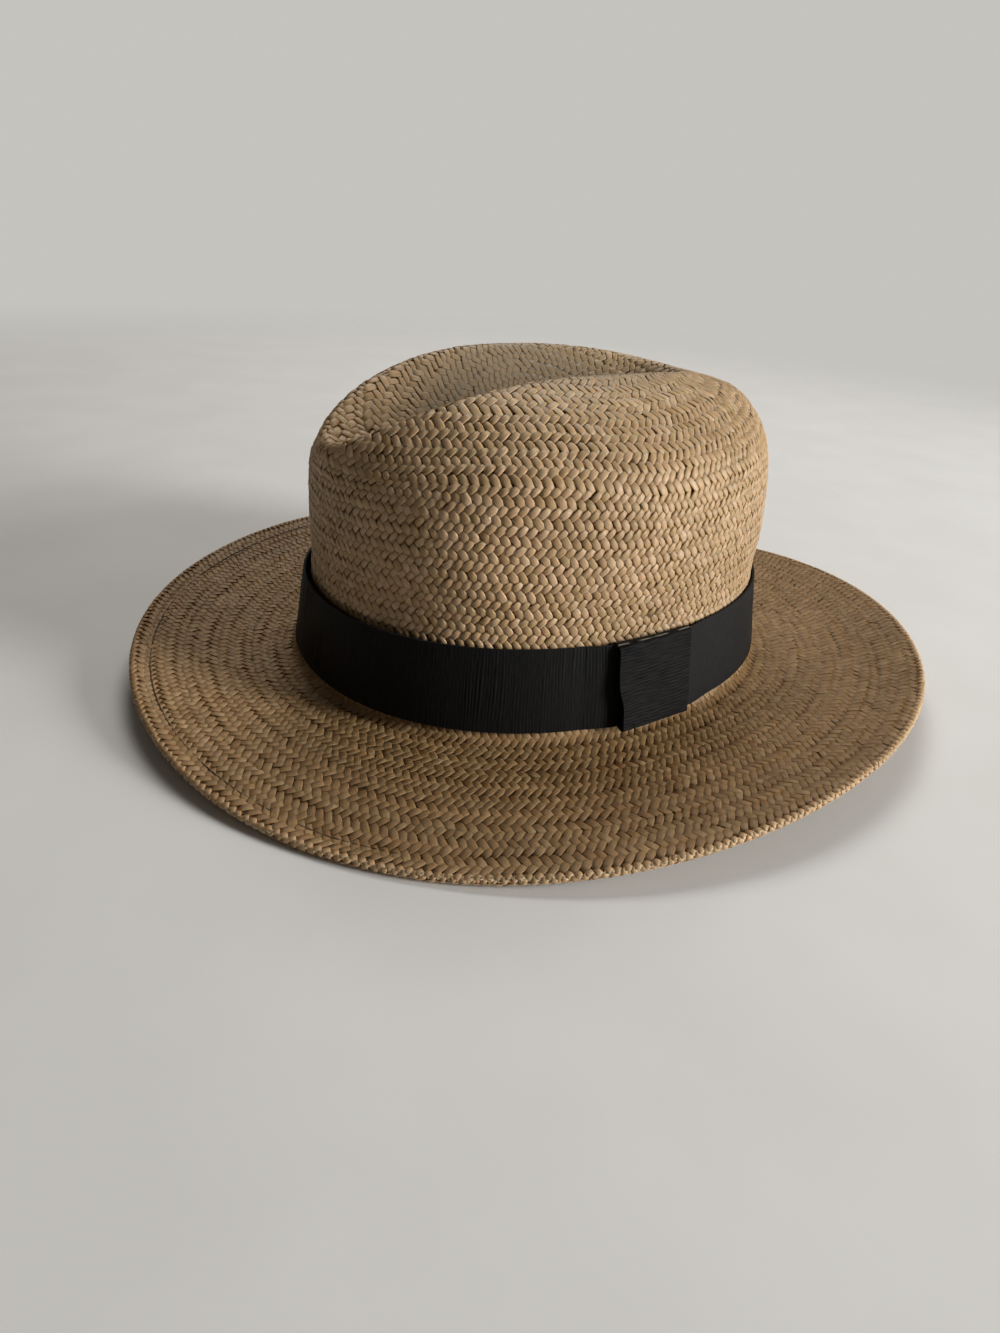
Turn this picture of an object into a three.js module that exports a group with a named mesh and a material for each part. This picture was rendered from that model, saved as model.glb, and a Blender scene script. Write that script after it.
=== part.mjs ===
// Straw fedora: a crown and brim woven as one piece, a ribbon band round the crown's foot, and the
// ribbon keeper that wraps the band where its ends meet, on the wearer's left.
// Millimetres, +Z up. The front faces -Y, the wearer's left is +X, and the hat stands on z = 0 with
// its brim centred on the origin. Angles run from the wearer's left round to the back.
import * as THREE from 'three';

const { degToRad, lerp, smoothstep } = THREE.MathUtils;

// Straw wall and brim
const strawWall = 1.8;
const brimHalfWidth = 153;
const brimHalfLength = 170;
const hemWidth = 8;
const hemThickness = 3;
const rimRounding = 1.2;
const brimCurl = 2;

// The brim's edge is a saddle: it lies on the table at two opposite stretches and rises between them
const saddleRise = 7.3;
const saddleTurn = degToRad(-5.7);
const saddleRipple = 1.2;
const restAngle = degToRad(312);
const restHalfAngle = degToRad(6);
const restBlendAngle = degToRad(24);

// Crown: it stands forward of the brim's middle, and its ovals are a little squarer than ellipses
const crownShift = -5.8;
const crownSquareness = 2.1;
const heightPower = 2.4;
const dentFloorHeight = 91.5;

// Crown sections from the brim up over the ridges and down into the dent.
// halfWidth, front, back: reach from the crown's middle. pinch: how much the section narrows in front.
// sideZ, frontZ, backZ: heights above the table. steps: facets from this section to the next.
const crownColumns = ['name', 'halfWidth', 'front', 'back', 'pinch', 'sideZ', 'frontZ', 'backZ', 'steps'];
const crownRows = [
  ['root',        91.5, 107.2, 109.2, 0.00,   7.2,  7.2,   7.2, 3],
  ['foot',        85.0, 100.0, 102.4, 0.00,  11.5, 11.5,  11.5, 3],
  ['band_top',    78.4,  93.8,  98.6, 0.00,  42.0, 42.0,  42.0, 2],
  ['mid_wall',    79.1,  93.3,  97.4, 0.00,  66.0, 66.0,  66.0, 2],
  ['high_wall',   74.2,  92.6,  93.0, 0.00,  95.0, 81.8,  95.5, 3],
  ['shoulder',    56.2,  93.0,  84.8, 0.22, 111.1, 89.5, 109.8, 2],
  ['crest_outer', 40.4,  92.2,  69.0, 0.05, 118.6, 94.0, 113.9, 1],
  ['ridge',       33.6,  89.8,  62.5, 0.00, 120.9, 96.3, 115.5, 1],
  ['crest_inner', 29.3,  84.8,  58.0, 0.00, 117.6, 94.3, 112.5, 2],
  ['dent_side',   20.0,  74.8,  46.5, 0.00, 107.8, 92.6, 103.5, 2],
  ['dent_floor',   8.0,  50.0,  30.0, 0.00,  95.0, 90.0,  95.0, 2],
];
const crownSections = crownRows.map((row) =>
  Object.fromEntries(row.map((value, column) => [crownColumns[column], value])));
const [rootSection, footSection, bandTopSection] = crownSections;

// Brim sections between its hem and the crown's root, as shares of the brim's width
const brimShares = [0.66, 0.33];
const brimSteps = 2;
const hemSteps = 1;

// Ribbon: the band stands a little off the straw, more so at the front and under the keeper
const ribbonWall = 1;
const ribbonGap = 0.3;
const bandBottomZ = 12.4;
const bandTopZ = 42.1;
const bandFrontSlack = 1.6;
const bandSegments = 96;

// Keeper: a strip of the same ribbon wrapped right round the band
const keeperAngle = degToRad(-0.9);
const keeperHalfAngle = degToRad(9.7);
const keeperSteps = 6;
const keeperFold = 0.6;
const keeperProud = 1.4;
const keeperDrop = 1.7;
const keeperBlendAngle = degToRad(8);

// Facets round the straw, and how tightly its profile follows the sections
const bodySegments = 60;
const profileTension = 0.5;

const strawLook = { color: 0xa98a60, roughness: 0.75, metalness: 0 };
const ribbonLook = { color: 0x1b1b1d, roughness: 0.7, metalness: 0 };

// A point on a crown section, moved outwards by offset
function sectionPoint(section, angle, offset = 0) {
  const cos = Math.cos(angle);
  const sin = Math.sin(angle);
  const power = crownSquareness;
  const square = (Math.abs(cos) ** power + Math.abs(sin) ** power) ** (-1 / power);
  const toFront = Math.max(0, -sin);
  const toBack = Math.max(0, sin);
  const reach = sin < 0 ? section.front : section.back;
  const x = (section.halfWidth + offset) * square * cos * (1 - section.pinch * toFront ** 2);
  const y = (reach + offset) * square * sin + crownShift;
  const frontRise = (section.frontZ - section.sideZ) * toFront ** heightPower;
  const backRise = (section.backZ - section.sideZ) * toBack ** heightPower;
  return new THREE.Vector3(x, y, section.sideZ + frontRise + backRise);
}

function saddleWave(angle) {
  return saddleRise * (1 + Math.sin(2 * (angle - saddleTurn))) + saddleRipple * Math.cos(4 * angle);
}

const restLevel = Math.max(saddleWave(restAngle - restHalfAngle), saddleWave(restAngle + restHalfAngle));

// Height of the underside of the brim's edge
function rimHeight(angle) {
  return Math.max(0, saddleWave(angle) - restLevel);
}

// 1 where the hem lies level on the table, falling to 0 away from the two stretches that rest
function levelShare(angle) {
  const halfTurn = Math.PI;
  const turned = (angle - restAngle) / halfTurn;
  const away = Math.abs(turned - Math.round(turned)) * halfTurn;
  return 1 - smoothstep(away, restHalfAngle, restBlendAngle);
}

// The brim's edge, seen from above, pulled in by inset and raised by lift from its underside
function rimPoint(angle, inset, lift) {
  const x = (brimHalfWidth - inset) * Math.cos(angle);
  const y = (brimHalfLength - inset) * Math.sin(angle);
  return new THREE.Vector3(x, y, rimHeight(angle) + lift);
}

// A point on the brim's upper face, share of the way from the crown's root to the edge
function brimPoint(share, angle) {
  const root = sectionPoint(rootSection, angle);
  const rim = rimPoint(angle, rimRounding, hemThickness);
  const point = root.clone().lerp(rim, share);
  point.z = lerp(root.z, rim.z, share ** brimCurl);
  return point;
}

// The stitched line where the hem starts: level with the edge where the hem rests on the table
function hemPoint(angle, inset = 0) {
  const root = sectionPoint(rootSection, angle);
  const rim = rimPoint(angle, rimRounding, hemThickness);
  const point = brimPoint(1 - (hemWidth + inset) / root.distanceTo(rim), angle);
  point.z = lerp(point.z, rim.z, levelShare(angle));
  return point;
}

const dentFloor = new THREE.Vector3(0, crownShift, dentFloorHeight);

// Upper face from the edge to the dent at one angle, as rows of facets
function upperProfile(angle) {
  const points = [
    rimPoint(angle, rimRounding, hemThickness),
    hemPoint(angle),
    ...brimShares.map((share) => brimPoint(share, angle)),
    ...crownSections.map((section) => sectionPoint(section, angle)),
    dentFloor,
  ];
  const steps = [hemSteps, brimSteps, ...brimShares.map(() => brimSteps)];
  steps.push(...crownSections.map((section) => section.steps));
  const curve = new THREE.CatmullRomCurve3(points, false, 'catmullrom', profileTension);
  const profile = [];
  steps.forEach((count, span) => {
    for (let step = 0; step < count; step += 1) {
      profile.push(curve.getPoint((span + step / count) / (points.length - 1)));
    }
  });
  return profile;
}

function turnAngles(count) {
  return Array.from({ length: count }, (unused, index) => (2 * Math.PI * index) / count);
}

// Outward normal at one point of a grid of rings, each closed on itself
function gridNormal(rings, ring, index) {
  const count = rings[ring].length;
  const around = rings[ring][(index + 1) % count].clone().sub(rings[ring][(index + count - 1) % count]);
  const next = rings[Math.min(ring + 1, rings.length - 1)][index];
  const along = next.clone().sub(rings[Math.max(ring - 1, 0)][index]);
  return around.cross(along).normalize();
}

function meshGeometry(points, triangles) {
  const geometry = new THREE.BufferGeometry();
  geometry.setAttribute('position', new THREE.Float32BufferAttribute(points.flatMap((p) => p.toArray()), 3));
  geometry.setIndex(triangles);
  geometry.computeVertexNormals();
  return geometry;
}

// Two triangles for each cell between two rings, whose points start at these places in the list
function stripTriangles(start, nextStart, count) {
  const triangles = [];
  for (let index = 0; index < count; index += 1) {
    const following = (index + 1) % count;
    triangles.push(start + index, start + following, nextStart + following);
    triangles.push(start + index, nextStart + following, nextStart + index);
  }
  return triangles;
}

// A closed skin over rings, with one point to close each end
function cappedLoft(rings, firstPole, lastPole) {
  const count = rings[0].length;
  const points = [...rings.flat(), firstPole, lastPole];
  const lastStart = (rings.length - 1) * count;
  const triangles = [];
  for (let ring = 0; ring < rings.length - 1; ring += 1) {
    triangles.push(...stripTriangles(ring * count, (ring + 1) * count, count));
  }
  for (let index = 0; index < count; index += 1) {
    const following = (index + 1) % count;
    triangles.push(points.length - 2, following, index);
    triangles.push(points.length - 1, lastStart + index, lastStart + following);
  }
  return meshGeometry(points, triangles);
}

// A closed skin over sections that follow each other round a loop
function loopLoft(sections) {
  const count = sections[0].length;
  const triangles = sections.flatMap((section, index) =>
    stripTriangles(index * count, ((index + 1) % sections.length) * count, count));
  return meshGeometry(sections.flat(), triangles);
}

function strawGeometry() {
  const angles = turnAngles(bodySegments);
  const profiles = angles.map(upperProfile);
  const upper = profiles[0].map((unused, ring) => profiles.map((profile) => profile[ring]));
  const inside = upper.map((ring, number) => ring.map((point, index) =>
    point.clone().addScaledVector(gridNormal(upper, number, index), -strawWall)));
  const hemUnder = angles.map((angle) => hemPoint(angle).setZ(hemPoint(angle).z - hemThickness));
  const hemFold = angles.map((angle) => hemPoint(angle, rimRounding).setZ(hemPoint(angle).z - strawWall));
  const rimUnder = angles.map((angle) => rimPoint(angle, rimRounding, 0));
  const rimOuter = angles.map((angle) => rimPoint(angle, 0, hemThickness / 2));
  const firstInsideRing = hemSteps + 1;
  const rings = [
    ...inside.slice(firstInsideRing).reverse(),
    hemFold,
    hemUnder,
    rimUnder,
    rimOuter,
    ...upper,
  ];
  const innerDentFloor = dentFloor.clone().setZ(dentFloorHeight - strawWall);
  return cappedLoft(rings, innerDentFloor, dentFloor);
}

// 1 across the keeper, falling to 0 beside it
function keeperShare(angle) {
  const away = Math.abs((angle > Math.PI ? angle - 2 * Math.PI : angle) - keeperAngle);
  return 1 - smoothstep(away, keeperHalfAngle, keeperHalfAngle + keeperBlendAngle);
}

const bandBottom = { ...footSection, sideZ: bandBottomZ, frontZ: bandBottomZ, backZ: bandBottomZ };
const bandTop = { ...bandTopSection, sideZ: bandTopZ, frontZ: bandTopZ, backZ: bandTopZ };
const keeperBackOuter = ribbonGap + ribbonWall;
const bandInner = keeperBackOuter + ribbonGap;
const bandOuter = bandInner + ribbonWall;
const keeperFrontInner = bandOuter + ribbonGap;
const keeperFrontOuter = keeperFrontInner + ribbonWall;
const keeperTopInnerZ = bandTopZ + ribbonGap;
const keeperTopZ = keeperTopInnerZ + keeperFold;
const keeperBottomInnerZ = bandBottomZ - ribbonGap;
const keeperBackBottomZ = keeperBottomInnerZ - ribbonGap;
const keeperBottomZ = keeperBottomInnerZ - keeperFold;

// A point beside the band: offset outwards from the straw, at height z
function ribbonPoint(angle, offset, z) {
  const low = sectionPoint(bandBottom, angle, offset);
  const high = sectionPoint(bandTop, angle, offset);
  return low.lerp(high, (z - bandBottomZ) / (bandTopZ - bandBottomZ));
}

function bandGeometry() {
  const sections = turnAngles(bandSegments).map((angle) => {
    const inner = lerp(ribbonGap, bandInner, keeperShare(angle));
    const slack = bandFrontSlack * Math.max(0, -Math.sin(angle)) ** heightPower;
    return [
      ribbonPoint(angle, inner, bandBottomZ),
      ribbonPoint(angle, inner + slack, bandTopZ),
      ribbonPoint(angle, inner + slack + ribbonWall, bandTopZ),
      ribbonPoint(angle, inner + ribbonWall, bandBottomZ),
    ];
  });
  return loopLoft(sections);
}

// The keeper's four folds, back bottom first, each with an outer and an inner line along the band.
// Its front edge stands proud of the band, and its lower fold hangs lower towards the back.
function keeperGeometry() {
  const stations = Array.from({ length: keeperSteps + 1 }, (unused, index) => {
    const share = index / keeperSteps;
    const angle = lerp(keeperAngle - keeperHalfAngle, keeperAngle + keeperHalfAngle, share);
    const proud = keeperProud * (1 - share) ** 2;
    const drop = keeperDrop * share;
    return { angle, proud, drop };
  });
  const folds = [
    {
      outer: (s) => ribbonPoint(s.angle, ribbonGap, keeperBackBottomZ),
      inner: (s) => ribbonPoint(s.angle, keeperBackOuter, keeperBottomInnerZ),
    },
    {
      outer: (s) => ribbonPoint(s.angle, keeperFrontOuter + s.proud, keeperBottomZ - s.drop),
      inner: (s) => ribbonPoint(s.angle, keeperFrontInner + s.proud, keeperBottomInnerZ - s.drop),
    },
    {
      outer: (s) => ribbonPoint(s.angle, keeperFrontOuter + s.proud, keeperTopZ),
      inner: (s) => ribbonPoint(s.angle, keeperFrontInner + s.proud, keeperTopInnerZ),
    },
    {
      outer: (s) => ribbonPoint(s.angle, ribbonGap, keeperTopZ),
      inner: (s) => ribbonPoint(s.angle, keeperBackOuter, keeperTopInnerZ),
    },
  ];
  const sections = folds.map((fold) => [...stations.map(fold.outer), ...stations.map(fold.inner).reverse()]);
  return loopLoft(sections);
}

function namedMesh(name, geometry, look) {
  const mesh = new THREE.Mesh(geometry, new THREE.MeshStandardMaterial(look));
  mesh.name = name;
  return mesh;
}

const hat = new THREE.Group();
hat.add(namedMesh('straw_body', strawGeometry(), strawLook));
hat.add(namedMesh('hat_band', bandGeometry(), ribbonLook));
hat.add(namedMesh('band_keeper', keeperGeometry(), ribbonLook));

export default hat;
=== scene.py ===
import math

import bpy
import numpy as np
from mathutils import Matrix


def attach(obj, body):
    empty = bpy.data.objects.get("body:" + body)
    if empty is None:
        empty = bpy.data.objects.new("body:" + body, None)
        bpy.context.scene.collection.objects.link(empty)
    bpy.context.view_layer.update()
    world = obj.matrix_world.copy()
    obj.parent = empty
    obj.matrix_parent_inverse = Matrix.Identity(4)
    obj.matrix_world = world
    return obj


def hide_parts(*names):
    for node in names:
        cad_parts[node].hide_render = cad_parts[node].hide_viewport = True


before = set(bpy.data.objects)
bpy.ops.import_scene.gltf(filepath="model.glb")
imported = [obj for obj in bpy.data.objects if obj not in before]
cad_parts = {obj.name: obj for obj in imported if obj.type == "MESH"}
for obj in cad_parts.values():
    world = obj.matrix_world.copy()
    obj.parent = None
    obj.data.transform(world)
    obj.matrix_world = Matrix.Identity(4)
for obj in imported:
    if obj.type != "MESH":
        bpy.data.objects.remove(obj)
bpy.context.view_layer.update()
mm = 0.001                                   # sizes below are in millimetres
picks = np.random.default_rng(58)            # every chance difference comes from here

# Hat form: the same sizes as the solids, so each strand lies on the real surface
hat = {
    "halfWidth": 153, "halfLength": 170,     # brim, seen from above
    "hemWidth": 8, "hemThickness": 3, "rimRounding": 1.2, "wall": 1.8,
    "saddleRise": 7.3, "saddleTurn": -5.7, "saddleRipple": 1.2,
    "restAngle": 312, "restHalfAngle": 6, "restBlendAngle": 24,
    "crownShift": -5.8, "squareness": 2.1, "heightPower": 2.4, "dentFloor": 91.5,
    "brimShares": (0.66, 0.33),
}
crownColumns = ("halfWidth", "front", "back", "pinch", "sideZ", "frontZ", "backZ")
crownRows = (
    (91.5, 107.2, 109.2, 0.00, 7.2, 7.2, 7.2),          # root, where the brim starts
    (85.0, 100.0, 102.4, 0.00, 11.5, 11.5, 11.5),       # foot
    (78.4, 93.8, 98.6, 0.00, 42.0, 42.0, 42.0),         # top of the band
    (79.1, 93.3, 97.4, 0.00, 66.0, 66.0, 66.0),         # middle of the wall
    (74.2, 92.6, 93.0, 0.00, 95.0, 81.8, 95.5),         # high on the wall
    (56.2, 93.0, 84.8, 0.22, 111.1, 89.5, 109.8),       # shoulder
    (40.4, 92.2, 69.0, 0.05, 118.6, 94.0, 113.9),       # outer side of the crest
    (33.6, 89.8, 62.5, 0.00, 120.9, 96.3, 115.5),       # ridge
    (29.3, 84.8, 58.0, 0.00, 117.6, 94.3, 112.5),       # inner side of the crest
    (20.0, 74.8, 46.5, 0.00, 107.8, 92.6, 103.5),       # side of the dent
    (8.0, 50.0, 30.0, 0.00, 95.0, 90.0, 95.0),          # floor of the dent
)
crown = [dict(zip(crownColumns, row)) for row in crownRows]
rimStep, hemStep, rootStep, footStep, bandTopStep, dentStep = 0, 1, 4, 5, 6, 15   # places along the profile
fullTurn = np.linspace(0, 2 * np.pi, 721)              # every half degree
angles = fullTurn[:-1]


def smooth(value, low, high):
    share = np.clip((value - low) / (high - low), 0, 1)
    return share * share * (3 - 2 * share)


# Points of a crown section: rounder than an ellipse, pinched and lower at the front
def crownPoint(section, angle, offset=0.0):
    cos, sin = np.cos(angle), np.sin(angle)
    power = hat["squareness"]
    square = (np.abs(cos) ** power + np.abs(sin) ** power) ** (-1 / power)
    toFront, toBack = np.maximum(0, -sin), np.maximum(0, sin)
    reach = np.where(sin < 0, section["front"], section["back"])
    x = (section["halfWidth"] + offset) * square * cos * (1 - section["pinch"] * toFront ** 2)
    y = (reach + offset) * square * sin + hat["crownShift"]
    frontRise = (section["frontZ"] - section["sideZ"]) * toFront ** hat["heightPower"]
    backRise = (section["backZ"] - section["sideZ"]) * toBack ** hat["heightPower"]
    return np.stack([x, y, section["sideZ"] + frontRise + backRise], -1)


# The brim's twist: high on two sides, low on the two that the hat rests on
def saddleWave(angle):
    wave = 1 + np.sin(2 * (angle - math.radians(hat["saddleTurn"])))
    return hat["saddleRise"] * wave + hat["saddleRipple"] * np.cos(4 * angle)


def rimHeight(angle):
    rest, half = math.radians(hat["restAngle"]), math.radians(hat["restHalfAngle"])
    level = max(saddleWave(rest - half), saddleWave(rest + half))
    return np.maximum(0, saddleWave(angle) - level)


# How level the hem is made, where it rests on the table
def levelShare(angle):
    turns = (angle - math.radians(hat["restAngle"])) / np.pi
    away = np.abs(turns - np.round(turns)) * np.pi
    return 1 - smooth(away, math.radians(hat["restHalfAngle"]), math.radians(hat["restBlendAngle"]))


def rimPoint(angle, inset, lift):
    x = (hat["halfWidth"] - inset) * np.cos(angle)
    y = (hat["halfLength"] - inset) * np.sin(angle)
    return np.stack([x, y, rimHeight(angle) + lift], -1)


# Points of the brim, from its root at share 0 to its rim at share 1
def brimPoint(share, angle):
    root = crownPoint(crown[0], angle)
    rim = rimPoint(angle, hat["rimRounding"], hat["hemThickness"])
    share = np.broadcast_to(share, angle.shape)[..., None]
    point = root + (rim - root) * share
    point[..., 2:] = root[..., 2:] + (rim - root)[..., 2:] * share ** 2
    return point


def hemPoint(angle):
    root = crownPoint(crown[0], angle)
    rim = rimPoint(angle, hat["rimRounding"], hat["hemThickness"])
    point = brimPoint(1 - hat["hemWidth"] / np.linalg.norm(rim - root, axis=-1), angle)
    point[..., 2] += (rim[..., 2] - point[..., 2]) * levelShare(angle)
    return point


# Profile through the sections at every angle, from the rim over the brim and crown into the dent
topProfile = np.stack(
    [rimPoint(angles, hat["rimRounding"], hat["hemThickness"]), hemPoint(angles)]
    + [brimPoint(share, angles) for share in hat["brimShares"]]
    + [crownPoint(section, angles) for section in crown]
    + [np.broadcast_to((0.0, hat["crownShift"], hat["dentFloor"]), (len(angles), 3))])


# The rounded edge between two turns, from -90 degrees below to 90 degrees above
def edgeRound(low, high, samples=9):
    half, lines = hat["hemThickness"] / 2, []
    for turn in np.radians(np.linspace(low, high, samples)):
        inset = hat["rimRounding"] * (1 - math.cos(turn))
        lines.append(rimPoint(angles, inset, half + half * math.sin(turn)))
    return np.stack(lines)


# Underside of the turned hem, from its stitched line out to the edge
hemUnder = np.stack([hemPoint(angles) - (0, 0, hat["hemThickness"]),
                     rimPoint(angles, hat["rimRounding"], 0)])


# Smooth curve through the profile's points, at given places along it
def splineAt(points, steps):
    ends = [2 * points[:1] - points[1:2], points, 2 * points[-1:] - points[-2:-1]]
    padded = np.concatenate(ends)
    span = np.minimum(steps.astype(int), len(points) - 2)
    u = (steps - span)[:, None, None]
    before, start, end, after = (padded[span + k] for k in range(4))
    leave, arrive = (end - before) / 2, (after - start) / 2
    return ((2 * u ** 3 - 3 * u ** 2 + 1) * start + (u ** 3 - 2 * u ** 2 + u) * leave
            + (3 * u ** 2 - 2 * u ** 3) * end + (u ** 3 - u ** 2) * arrive)


def stretch(low, high, samples=780):
    return splineAt(topProfile, np.linspace(low, high, samples))


# Lines of points as a grid of points and outward normals, at even lengths along each angle
def faceOf(fine, rows=260):
    length = np.zeros(fine.shape[:2])
    length[1:] = np.linalg.norm(np.diff(fine, axis=0), axis=2).cumsum(0)
    shares = np.linspace(0, 1, rows)
    even = np.empty((rows, len(angles), 3))
    for column in range(len(angles)):
        for axis in range(3):
            wanted = shares * length[-1, column]
            even[:, column, axis] = np.interp(wanted, length[:, column], fine[:, column, axis])
    around = np.roll(even, -1, 1) - np.roll(even, 1, 1)
    normal = np.cross(around, np.gradient(even, axis=0))
    size = np.linalg.norm(normal, axis=2, keepdims=True)
    normal = np.where(size > 1e-6, normal / np.maximum(size, 1e-6), (0.0, 0.0, 1.0))
    return {"point": even, "normal": normal, "length": length[-1].mean()}


# Points and normals of a face, at shares of its length and angles round it
def faceAt(face, share, angle):
    rows, columns = face["point"].shape[:2]
    row = np.clip(share, 0, 1) * (rows - 1)
    column = angle / (2 * np.pi) % 1 * columns
    low, left = np.minimum(row.astype(int), rows - 2), column.astype(int) % columns
    right = (left + 1) % columns
    u, v = (row - low)[..., None], (column - np.floor(column))[..., None]
    found = []
    for grid in (face["point"], face["normal"]):
        lower = grid[low, left] * (1 - v) + grid[low, right] * v
        upper = grid[low + 1, left] * (1 - v) + grid[low + 1, right] * v
        found.append(lower * (1 - u) + upper * u)
    point, normal = found
    return point, normal / np.maximum(np.linalg.norm(normal, axis=-1, keepdims=True), 1e-9)


# Length walked round a ring of a face, at each angle from 0 to a full turn
def ringWalk(face, share, highest=0.995):
    ring, _ = faceAt(face, np.full(len(fullTurn), min(share, highest)), fullTurn)
    return np.append(0, np.linalg.norm(np.diff(ring, axis=0), axis=1).cumsum())


# Turn, for each share climbed, that keeps a line square to the rings of a face. It is held back where the
# rings close up.
def squareTurn(face, share, angle, tiny=0.006, most=2.0):
    around = (faceAt(face, share, angle + tiny)[0] - faceAt(face, share, angle - tiny)[0]) / (2 * tiny)
    low, high = np.maximum(share - tiny, 0), np.minimum(share + tiny, 1)
    climb = (faceAt(face, high, angle)[0] - faceAt(face, low, angle)[0]) / (high - low)[..., None]
    return np.clip(-(around * climb).sum(-1) / np.maximum((around ** 2).sum(-1), 1e-6), -most, most)


# Angles at which lines square to the rings, from one ring of a face, reach another
def climbTo(face, angle, low, high, steps=10):
    for step in range(steps):
        share = np.full(angle.shape, low + (high - low) * (step + 0.5) / steps)
        angle = angle + squareTurn(face, share, angle) * (high - low) / steps
    return angle


# Materials
def linear(hexColour):
    channels = [int(hexColour[k:k + 2], 16) / 255 for k in (1, 3, 5)]
    return [c / 12.92 if c <= 0.04045 else ((c + 0.055) / 1.055) ** 2.4 for c in channels] + [1.0]


def addNode(tree, kind, settings=None, links=None):
    node = tree.nodes.new(kind)
    for name, value in (settings or {}).items():
        if isinstance(name, int) or name in node.inputs:
            node.inputs[name].default_value = value
        else:
            setattr(node, name, value)
    for name, source in (links or {}).items():
        tree.links.new(source, node.inputs[name])
    return node


def newMaterial(name):
    material = bpy.data.materials.new(name)
    material.use_nodes = True
    material.node_tree.nodes.clear()
    return material, material.node_tree


def setRamp(node, stops):
    ramp = node.color_ramp
    while len(ramp.elements) < len(stops):
        ramp.elements.new(0.5)
    for element, (place, colour) in zip(ramp.elements, stops):
        element.position, element.color = place, linear(colour)


# Dyed palm straw, split and hand woven: satin strands, each its own brown, with fine lengthwise fibres.
# They are darkened where they are tucked under their neighbours, as painted shade, greyed in the dent as a
# painted reflection, and rubbed paler along the rim, with a painted highlight most on the window's side.
def strawMaterial(name, stops, fibreDark, roughness, paleWearAndLight="#99856a"):
    material, tree = newMaterial(name)
    tone = addNode(tree, "ShaderNodeAttribute", {"attribute_name": "strawTone"})
    browns = addNode(tree, "ShaderNodeValToRGB", links={"Fac": tone.outputs["Fac"]})
    setRamp(browns, stops)
    wearAndPaintedLight = addNode(tree, "ShaderNodeAttribute", {"attribute_name": "wearAndPaintedLight"})      # painted reflection in the dent; wear and painted highlight on the rim
    # Painted light: the pale colour mixed in by this attribute
    paledByWearAndLight = addNode(tree, "ShaderNodeMix", {"data_type": "RGBA", 7: linear(paleWearAndLight)},
                   {0: wearAndPaintedLight.outputs["Fac"], 6: browns.outputs["Color"]})
    strand = addNode(tree, "ShaderNodeUVMap", {"uv_map": "strand"})
    fibreScale = (1 / 0.45, 1 / 6.0, 1.0)            # 0.45 mm wide, coarser than real so that they show
    along = addNode(tree, "ShaderNodeMapping", {"Scale": fibreScale}, {"Vector": strand.outputs["UV"]})
    fibres = addNode(tree, "ShaderNodeTexNoise", {"Scale": 1.0, "Detail": 3.0, "Roughness": 0.6},
                     {"Vector": along.outputs["Vector"]})
    streak = addNode(tree, "ShaderNodeMapRange",
                     {"From Min": 0.35, "From Max": 0.7, "To Min": fibreDark, "To Max": 1.08},
                     {"Value": fibres.outputs["Fac"]})
    place = addNode(tree, "ShaderNodeTexCoord")
    cloudScale = 1 / 0.035                           # sun-faded patches about 35 mm across
    clouds = addNode(tree, "ShaderNodeTexNoise", {"Scale": cloudScale, "Detail": 2.0},
                     {"Vector": place.outputs["Object"]})
    faded = addNode(tree, "ShaderNodeMapRange",
                    {"From Min": 0.3, "From Max": 0.7, "To Min": 0.9, "To Max": 1.1},
                    {"Value": clouds.outputs["Fac"]})
    tucked = addNode(tree, "ShaderNodeAttribute", {"attribute_name": "tucked"})
    # Painted shade: strands are darkened to 0.6 where they are tucked under their neighbours
    pitShade = addNode(tree, "ShaderNodeMapRange", {"To Min": 1.0, "To Max": 0.6},
                   {"Value": tucked.outputs["Fac"]})
    patchy = addNode(tree, "ShaderNodeMath", {"operation": "MULTIPLY"},
                     {0: streak.outputs["Result"], 1: faded.outputs["Result"]})
    shade = addNode(tree, "ShaderNodeMath", {"operation": "MULTIPLY"},
                    {0: patchy.outputs["Value"], 1: pitShade.outputs["Result"]})
    tinted = addNode(tree, "ShaderNodeVectorMath", {"operation": "SCALE"},
                     {0: paledByWearAndLight.outputs[2], "Scale": shade.outputs["Value"]})
    gloss = addNode(tree, "ShaderNodeMapRange",
                    {"From Min": 0.3, "From Max": 0.7, "To Min": roughness + 0.1, "To Max": roughness - 0.08},
                    {"Value": fibres.outputs["Fac"]})
    bump = addNode(tree, "ShaderNodeBump", {"Strength": 0.5, "Distance": 0.0001},
                   {"Height": fibres.outputs["Fac"]})
    shader = addNode(tree, "ShaderNodeBsdfPrincipled",
                     {"IOR": 1.46, "Specular IOR Level": 0.4, "Subsurface Weight": 0.4,
                      "Subsurface Radius": (1.0, 0.62, 0.35), "Subsurface Scale": 0.001},
                     {"Base Color": tinted.outputs["Vector"], "Roughness": gloss.outputs["Result"],
                      "Normal": bump.outputs["Normal"]})
    addNode(tree, "ShaderNodeOutputMaterial", links={"Surface": shader.outputs["BSDF"]})
    return material


# The straw's own lower layer, seen only between the strands: the same dyed palm, coloured darker as painted
# shade
def groundMaterial():
    material, tree = newMaterial("shadedStraw")
    place = addNode(tree, "ShaderNodeTexCoord")
    strandScale = 1 / 0.0035                         # one strand's pitch
    mottle = addNode(tree, "ShaderNodeTexNoise", {"Scale": strandScale, "Detail": 2.0},
                     {"Vector": place.outputs["Object"]})
    browns = addNode(tree, "ShaderNodeValToRGB", links={"Fac": mottle.outputs["Fac"]})
    setRamp(browns, ((0.3, "#533d22"), (0.7, "#6d5232")))
    bump = addNode(tree, "ShaderNodeBump", {"Strength": 0.6, "Distance": 0.0003},
                   {"Height": mottle.outputs["Fac"]})
    shader = addNode(tree, "ShaderNodeBsdfPrincipled", {"Roughness": 0.8, "IOR": 1.46},
                     {"Base Color": browns.outputs["Color"], "Normal": bump.outputs["Normal"]})
    addNode(tree, "ShaderNodeOutputMaterial", links={"Surface": shader.outputs["BSDF"]})
    return material
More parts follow.
